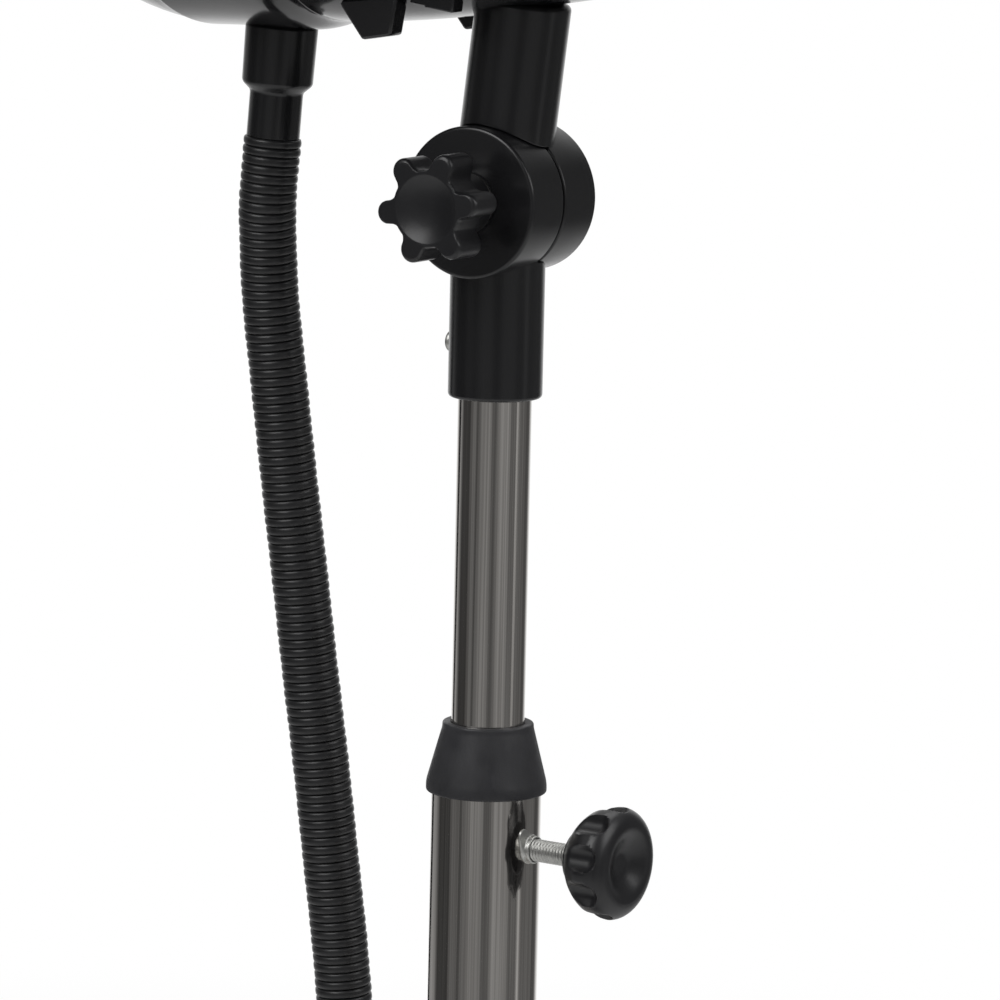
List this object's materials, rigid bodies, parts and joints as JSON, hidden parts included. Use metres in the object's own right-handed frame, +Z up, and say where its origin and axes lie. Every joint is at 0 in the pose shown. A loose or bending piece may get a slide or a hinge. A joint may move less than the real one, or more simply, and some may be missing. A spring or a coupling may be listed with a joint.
{
  "type": "pet dryer",
  "caption": "Stand dryer for animal grooming: a tilting blower head on a telescoping steel mast with a wheeled star base.",
  "frame": {"origin": "on the floor, on the column's axis", "axes": "+Z up along the column, -Y the way the air blows at rest, +X along the tilt axis away from the tilt knob"},
  "size_m": [0.6235, 0.5491, 1.1373],
  "materials": {
    "black_gloss": "gloss",
    "black_satin": "satin",
    "rubber": "matt",
    "steel": "polished stainless steel",
    "zinc": "bright zinc plate",
    "enamel": "satin",
    "sheet": "mill",
    "mica": "matt",
    "winding": "oxidised",
    "white_plastic": "matt",
    "felt": "open foam",
    "friction": "matt fibre",
    "tyre": "satin",
    "red": "translucent"
  },
  "bodies": {
    "stand": {"base_hub": "enamel", "leg_1": "enamel", "leg_2": "enamel", "leg_3": "enamel", "leg_4": "enamel", "leg_5": "enamel", "base_screws": "zinc", "outer_column": "steel", "collar": "rubber", "conduit_gland": "black_satin", "mains_gland": "black_satin", "conduit": "black_satin"},
    "guide": {"guide_bush": "white_plastic"},
    "mast": {"mast_tube": "steel", "socket_knuckle": "black_gloss", "socket_screw": "zinc", "friction_disc": "friction", "tilt_bolt": "zinc"},
    "tilt_knob": {"tilt_knob": "black_gloss"},
    "lock": {"lock_screw": "zinc", "lock_knob": "black_gloss"},
    "head": {"neck_knuckle": "black_gloss", "neck_bolts": "zinc", "chassis_rail": "sheet", "front_shell": "black_gloss", "rear_shell": "black_gloss", "shell_screws": "zinc", "rest_feet": "black_gloss", "shell_clips": "black_gloss", "conduit_cuff": "black_gloss", "air_filter": "felt", "fan_shroud": "black_satin", "motor": "sheet", "motor_mount": "sheet", "heater_frame": "mica", "heater_windings": "winding", "thermal_cutout": "white_plastic", "outlet_guard": "zinc", "control_pod": "black_gloss", "pilot_light": "red"},
    "fan": {"motor_shaft": "zinc", "impeller": "black_satin"},
    "intake_cover": {"intake_cover": "black_satin"},
    "nozzle": {"nozzle": "black_gloss"},
    "power_switch": {"power_switch": "red"},
    "speed_dial": {"speed_dial": "black_satin"},
    "heat_dial": {"heat_dial": "black_satin"},
    "caster_1": {"caster_yoke_1": "black_satin"},
    "wheels_1": {"caster_wheels_1": "tyre"},
    "caster_2": {"caster_yoke_2": "black_satin"},
    "wheels_2": {"caster_wheels_2": "tyre"},
    "caster_3": {"caster_yoke_3": "black_satin"},
    "wheels_3": {"caster_wheels_3": "tyre"},
    "caster_4": {"caster_yoke_4": "black_satin"},
    "wheels_4": {"caster_wheels_4": "tyre"},
    "caster_5": {"caster_yoke_5": "black_satin"},
    "wheels_5": {"caster_wheels_5": "tyre"},
    "brake_1": {"brake_lever_1": "zinc"},
    "brake_3": {"brake_lever_3": "zinc"}
  },
  "joints": [
    {"name": "mast_slide", "type": "slide", "parent": "stand", "child": "guide", "axis": [0, 0, 1], "range_m": [-0.1, 0.15], "deforming": ["conduit"]},
    {"name": "mast_turn", "type": "hinge", "parent": "guide", "child": "mast", "pos_m": [0, 0, 0.6], "axis": [0, 0, 1], "range_deg": [-90, 90], "deforming": ["conduit"]},
    {"name": "head_tilt", "type": "hinge", "parent": "mast", "child": "head", "pos_m": [0, 0, 0.9], "axis": [1, 0, 0], "range_deg": [-50, 50], "deforming": ["conduit"]},
    {"name": "tilt_knob_turn", "type": "hinge", "parent": "mast", "child": "tilt_knob", "pos_m": [-0.035, 0, 0.9], "axis": [-1, 0, 0], "range_deg": [-360, 360]},
    {"name": "lock_knob_turn", "type": "hinge", "parent": "stand", "child": "lock", "pos_m": [0, 0, 0.6757], "axis": [-0.0523, -0.9986, 0], "range_deg": [-720, 720]},
    {"name": "fan_spin", "type": "hinge", "parent": "head", "child": "fan", "pos_m": [0, 0.12339, 1.04765], "axis": [0, 0.993, 0.1184], "continuous": true},
    {"name": "intake_cover_twist", "type": "hinge", "parent": "head", "child": "intake_cover", "pos_m": [0, 0.17303, 1.05357], "axis": [0, 0.993, 0.1184], "range_deg": [0, 15]},
    {"name": "nozzle_turn", "type": "hinge", "parent": "head", "child": "nozzle", "pos_m": [0, -0.14472, 1.01568], "axis": [0, 0.993, 0.1184], "continuous": true},
    {"name": "power_rocker", "type": "hinge", "parent": "head", "child": "power_switch", "pos_m": [-0.0978, 0.08168, 1.04268], "axis": [0, 0.993, 0.1184], "range_deg": [-8, 8]},
    {"name": "speed_dial_turn", "type": "hinge", "parent": "head", "child": "speed_dial", "pos_m": [-0.099, 0.10353, 1.04528], "axis": [-1, 0, 0], "range_deg": [0, 270]},
    {"name": "heat_dial_turn", "type": "hinge", "parent": "head", "child": "heat_dial", "pos_m": [-0.099, 0.12835, 1.04824], "axis": [-1, 0, 0], "range_deg": [0, 270]},
    {"name": "caster_1_swivel", "type": "hinge", "parent": "stand", "child": "caster_1", "pos_m": [0, -0.28, 0.06], "axis": [0, 0, 1], "continuous": true},
    {"name": "wheels_1_spin", "type": "hinge", "parent": "caster_1", "child": "wheels_1", "pos_m": [0.0085, -0.26528, 0.025], "axis": [-0.866, 0.5, 0], "continuous": true},
    {"name": "brake_1_press", "type": "hinge", "parent": "caster_1", "child": "brake_1", "pos_m": [0.01911, -0.24691, 0.04621], "axis": [-0.866, 0.5, 0], "range_deg": [0, 18]},
    {"name": "caster_2_swivel", "type": "hinge", "parent": "stand", "child": "caster_2", "pos_m": [0.2663, -0.08653, 0.06], "axis": [0, 0, 1], "continuous": true},
    {"name": "wheels_2_spin", "type": "hinge", "parent": "caster_2", "child": "wheels_2", "pos_m": [0.28255, -0.08155, 0.025], "axis": [-0.2924, 0.9563, 0], "continuous": true},
    {"name": "caster_3_swivel", "type": "hinge", "parent": "stand", "child": "caster_3", "pos_m": [0.16458, 0.22653, 0.06], "axis": [0, 0, 1], "continuous": true},
    {"name": "wheels_3_spin", "type": "hinge", "parent": "caster_3", "child": "wheels_3", "pos_m": [0.17409, 0.21243, 0.025], "axis": [0.829, 0.5592, 0], "continuous": true},
    {"name": "brake_3_press", "type": "hinge", "parent": "caster_3", "child": "brake_3", "pos_m": [0.18595, 0.19484, 0.04621], "axis": [0.829, 0.5592, 0], "range_deg": [0, 18]},
    {"name": "caster_4_swivel", "type": "hinge", "parent": "stand", "child": "caster_4", "pos_m": [-0.16458, 0.22653, 0.06], "axis": [0, 0, 1], "continuous": true},
    {"name": "wheels_4_spin", "type": "hinge", "parent": "caster_4", "child": "wheels_4", "pos_m": [-0.17409, 0.21243, 0.025], "axis": [0.829, -0.5592, 0], "continuous": true},
    {"name": "caster_5_swivel", "type": "hinge", "parent": "stand", "child": "caster_5", "pos_m": [-0.2663, -0.08653, 0.06], "axis": [0, 0, 1], "continuous": true},
    {"name": "wheels_5_spin", "type": "hinge", "parent": "caster_5", "child": "wheels_5", "pos_m": [-0.28206, -0.08016, 0.025], "axis": [-0.3746, -0.9272, 0], "continuous": true}
  ]
}
